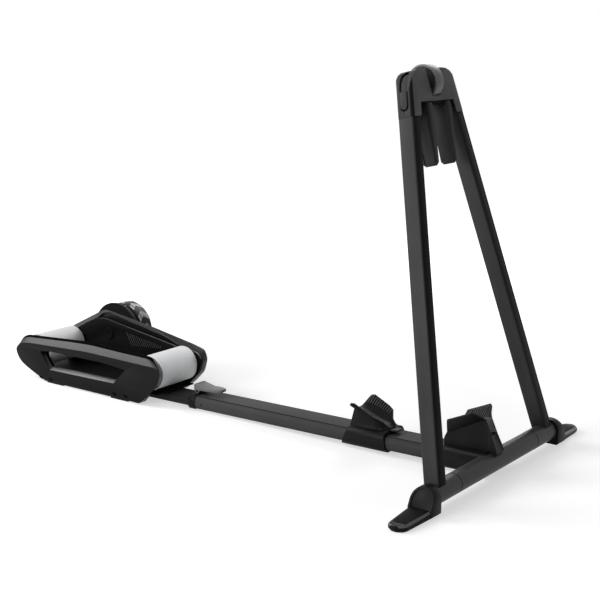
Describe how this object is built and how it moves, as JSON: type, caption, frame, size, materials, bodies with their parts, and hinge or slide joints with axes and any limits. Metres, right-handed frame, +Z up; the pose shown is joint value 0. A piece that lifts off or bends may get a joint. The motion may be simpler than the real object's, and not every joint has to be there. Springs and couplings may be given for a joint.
{
  "type": "bike rollers",
  "caption": "Bicycle training rollers with a folding frame that holds the front wheel and a sliding drum unit with a flywheel.",
  "frame": {"origin": "on the floor under the middle of the stand's outline", "axes": "+X to the flywheel's side, +Y from the front frame to the roller unit, +Z up"},
  "size_m": [0.7578, 1.3408, 0.8136],
  "materials": {
    "black_anodised": "satin black anodised",
    "black_plastic": "matte moulded",
    "grey_plastic": "satin moulded",
    "rubber": "matte",
    "satin_steel": "ground",
    "drum_aluminium": "satin silver",
    "flywheel_steel": "turned",
    "board_green": "coated board"
  },
  "bodies": {
    "base": {"cross_tube": "black_anodised", "pivot_axle": "satin_steel", "right_boot": "black_plastic", "left_boot": "black_plastic", "right_sole": "rubber", "left_sole": "rubber", "spine_joint": "black_plastic", "spine_tube": "black_anodised", "spine_collar": "black_plastic", "lever_pin": "satin_steel", "front_chock": "black_plastic"},
    "folding_frame": {"right_pivot_sleeve": "black_anodised", "left_pivot_sleeve": "black_anodised", "right_leg": "black_anodised", "left_leg": "black_anodised", "head_front_shell": "black_plastic", "head_rear_shell": "black_plastic", "right_arm_pin": "satin_steel", "left_arm_pin": "satin_steel"},
    "thumb_wheel": {"thumb_wheel": "grey_plastic"},
    "right_screw": {"right_closing_screw": "satin_steel"},
    "left_screw": {"left_closing_screw": "satin_steel"},
    "right_arm": {"right_clamp_arm": "black_plastic", "right_arm_pad": "rubber"},
    "left_arm": {"left_clamp_arm": "black_plastic", "left_arm_pad": "rubber"},
    "right_rocker": {"right_rocker": "black_plastic"},
    "left_rocker": {"left_rocker": "black_plastic"},
    "rear_chock": {"rear_chock": "black_plastic", "latch_pin": "satin_steel"},
    "chock_latch": {"chock_latch": "black_plastic"},
    "cam_lever": {"cam_lever": "grey_plastic"},
    "roller_unit": {"inner_tube": "black_anodised", "near_outer_cover": "black_plastic", "near_inner_plate": "black_plastic", "far_outer_cover": "black_plastic", "far_inner_plate": "black_plastic", "cross_pan": "black_plastic", "flywheel_shroud": "black_plastic", "circuit_board": "board_green", "power_inlet": "black_plastic", "brake_stator": "satin_steel", "drive_belt": "rubber", "near_front_pad": "rubber", "near_rear_pad": "rubber", "far_front_pad": "rubber", "far_rear_pad": "rubber", "front_left_bearing": "satin_steel", "front_right_bearing": "satin_steel", "rear_left_bearing": "satin_steel", "rear_right_bearing": "satin_steel", "flywheel_inner_bearing": "satin_steel", "flywheel_outer_bearing": "satin_steel"},
    "front_drum": {"front_drum": "drum_aluminium", "front_drum_shaft": "satin_steel"},
    "rear_drum": {"rear_drum": "drum_aluminium", "rear_drum_shaft": "satin_steel", "drum_pulley": "grey_plastic"},
    "flywheel": {"flywheel": "flywheel_steel", "flywheel_shaft": "satin_steel"}
  },
  "joints": [
    {"name": "a_frame_fold", "type": "hinge", "parent": "base", "child": "folding_frame", "pos_m": [0, -0.6449, 0.03], "axis": [-1, 0, 0], "range_deg": [0, 66]},
    {"name": "thumb_wheel_turn", "type": "hinge", "parent": "folding_frame", "child": "thumb_wheel", "pos_m": [0, -0.45813, 0.77907], "axis": [1, 0, 0], "range_deg": [0, 720]},
    {"name": "right_screw_slide", "type": "slide", "parent": "folding_frame", "child": "right_screw", "axis": [1, 0, 0], "range_m": [0, 0.00251]},
    {"name": "left_screw_slide", "type": "slide", "parent": "folding_frame", "child": "left_screw", "axis": [-1, 0, 0], "range_m": [0, 0.00251]},
    {"name": "right_arm_swing", "type": "hinge", "parent": "folding_frame", "child": "right_arm", "pos_m": [0.035, -0.46442, 0.75384], "axis": [0, 0.9703, -0.2419], "range_deg": [0, 5.52]},
    {"name": "left_arm_swing", "type": "hinge", "parent": "folding_frame", "child": "left_arm", "pos_m": [-0.035, -0.46442, 0.75384], "axis": [0, -0.9703, 0.2419], "range_deg": [0, 5.52]},
    {"name": "right_rocker_tilt", "type": "hinge", "parent": "folding_frame", "child": "right_rocker", "pos_m": [0.08731, -0.46225, 0.76257], "axis": [0, 0.9703, -0.2419], "range_deg": [0, 2.5], "stiffness_Nm_per_rad": 2},
    {"name": "left_rocker_tilt", "type": "hinge", "parent": "folding_frame", "child": "left_rocker", "pos_m": [-0.08731, -0.46225, 0.76257], "axis": [0, -0.9703, 0.2419], "range_deg": [0, 2.5], "stiffness_Nm_per_rad": 2},
    {"name": "rear_chock_slide", "type": "slide", "parent": "base", "child": "rear_chock", "axis": [0, 0.9999, -0.0157], "range_m": [-0.05, 0.12]},
    {"name": "latch_press", "type": "hinge", "parent": "rear_chock", "child": "chock_latch", "pos_m": [0, -0.4016, 0.04718], "axis": [1, 0, 0], "range_deg": [0, 7], "stiffness_Nm_per_rad": 0.5, "springref_deg": -5.73},
    {"name": "cam_lever_swing", "type": "hinge", "parent": "base", "child": "cam_lever", "pos_m": [0, 0.12337, 0.04093], "axis": [-1, 0, 0], "range_deg": [0, 90]},
    {"name": "unit_slide", "type": "slide", "parent": "base", "child": "roller_unit", "axis": [0, 0.9999, -0.0157], "range_m": [0, 0.18]},
    {"name": "front_drum_spin", "type": "hinge", "parent": "roller_unit", "child": "front_drum", "pos_m": [0, 0.23094, 0.07625], "axis": [1, 0, 0], "continuous": true},
    {"name": "flywheel_spin", "type": "hinge", "parent": "roller_unit", "child": "flywheel", "pos_m": [0, 0.48452, 0.11127], "axis": [1, 0, 0], "continuous": true},
    {"name": "rear_drum_spin", "type": "hinge", "parent": "roller_unit", "child": "rear_drum", "pos_m": [0, 0.61089, 0.07028], "axis": [1, 0, 0], "continuous": true}
  ],
  "couplings": [
    {"joint": "right_screw_slide", "follows": "thumb_wheel_turn", "m_per_rad": 0.00019894},
    {"joint": "left_screw_slide", "follows": "thumb_wheel_turn", "m_per_rad": 0.00019894},
    {"joint": "right_arm_swing", "follows": "thumb_wheel_turn", "ratio": 0.0076389},
    {"joint": "left_arm_swing", "follows": "thumb_wheel_turn", "ratio": 0.0076389},
    {"joint": "rear_drum_spin", "follows": "flywheel_spin", "ratio": 0.44664}
  ]
}
